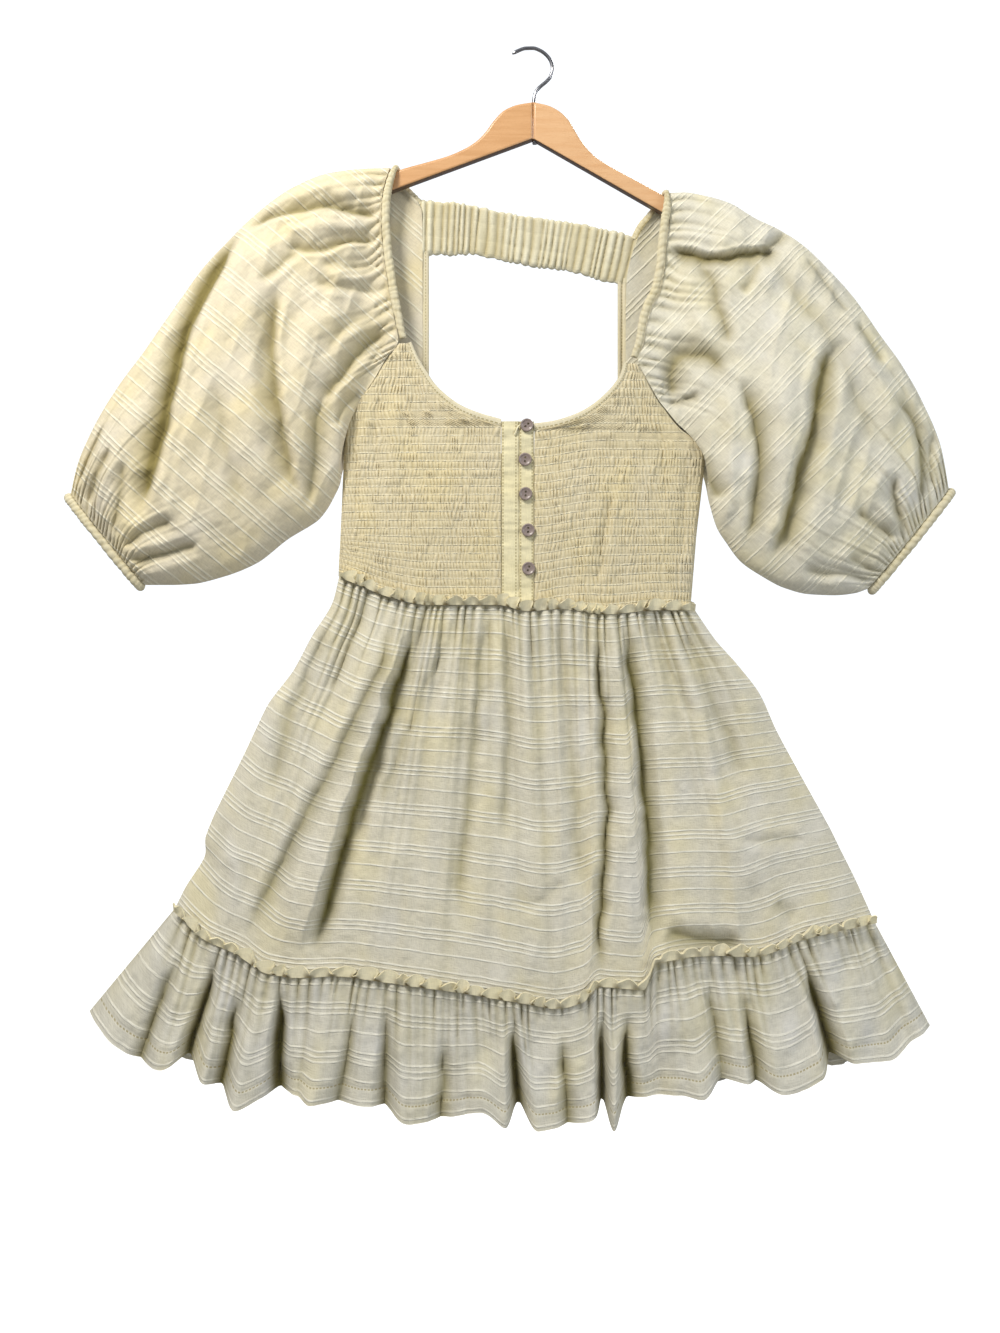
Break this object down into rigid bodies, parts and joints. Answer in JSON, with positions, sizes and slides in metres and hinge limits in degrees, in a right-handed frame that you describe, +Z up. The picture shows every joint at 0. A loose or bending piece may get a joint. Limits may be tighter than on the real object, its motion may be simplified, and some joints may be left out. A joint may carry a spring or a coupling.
{
  "type": "mini dress on a hanger",
  "caption": "Short-sleeved cotton mini dress hung flat on a wooden hanger: smocked button-front bodice, open back with a gathered strap, balloon sleeves and a tiered frilled skirt.",
  "frame": {"origin": "the inside of the top of the hook, where it hangs on a rail", "axes": "+X to the right of someone facing the front, -Y out of the dress's front, +Z up; the side seams lie in the plane y = 0"},
  "size_m": [0.8636, 0.1113, 1.0343],
  "materials": {
    "shirred_cotton": "shirred on elastic thread, matt",
    "slub_cotton": "cotton gauze with raised slub cords, matt",
    "beech_varnished": "clear varnish, satin",
    "steel_wire": "polished wire",
    "button_resin": "satin, horn-like"
  },
  "bodies": {
    "root": {"bodice_front_left": "shirred_cotton", "bodice_front_right": "shirred_cotton", "bodice_back": "shirred_cotton", "neck_binding_left": "slub_cotton", "neck_binding_right": "slub_cotton", "loop_band": "slub_cotton", "button_band": "slub_cotton", "button_loop": "slub_cotton", "back_binding_left": "slub_cotton", "back_binding_right": "slub_cotton", "back_strap": "slub_cotton", "neck_casing_left": "slub_cotton", "neck_casing_right": "slub_cotton", "sleeve_left": "slub_cotton", "sleeve_right": "slub_cotton", "cuff_left": "slub_cotton", "cuff_right": "slub_cotton", "waist_frill_front": "slub_cotton", "waist_frill_back": "slub_cotton", "skirt_front": "slub_cotton", "skirt_back": "slub_cotton", "ruffle_front": "slub_cotton", "ruffle_back": "slub_cotton", "ruffle_frill_front": "slub_cotton", "ruffle_frill_back": "slub_cotton", "hanger_arm_left": "beech_varnished", "hanger_arm_right": "beech_varnished", "hook": "steel_wire", "button_1": "button_resin", "button_2": "button_resin", "button_3": "button_resin", "button_4": "button_resin", "button_5": "button_resin"}
  },
  "joints": []
}
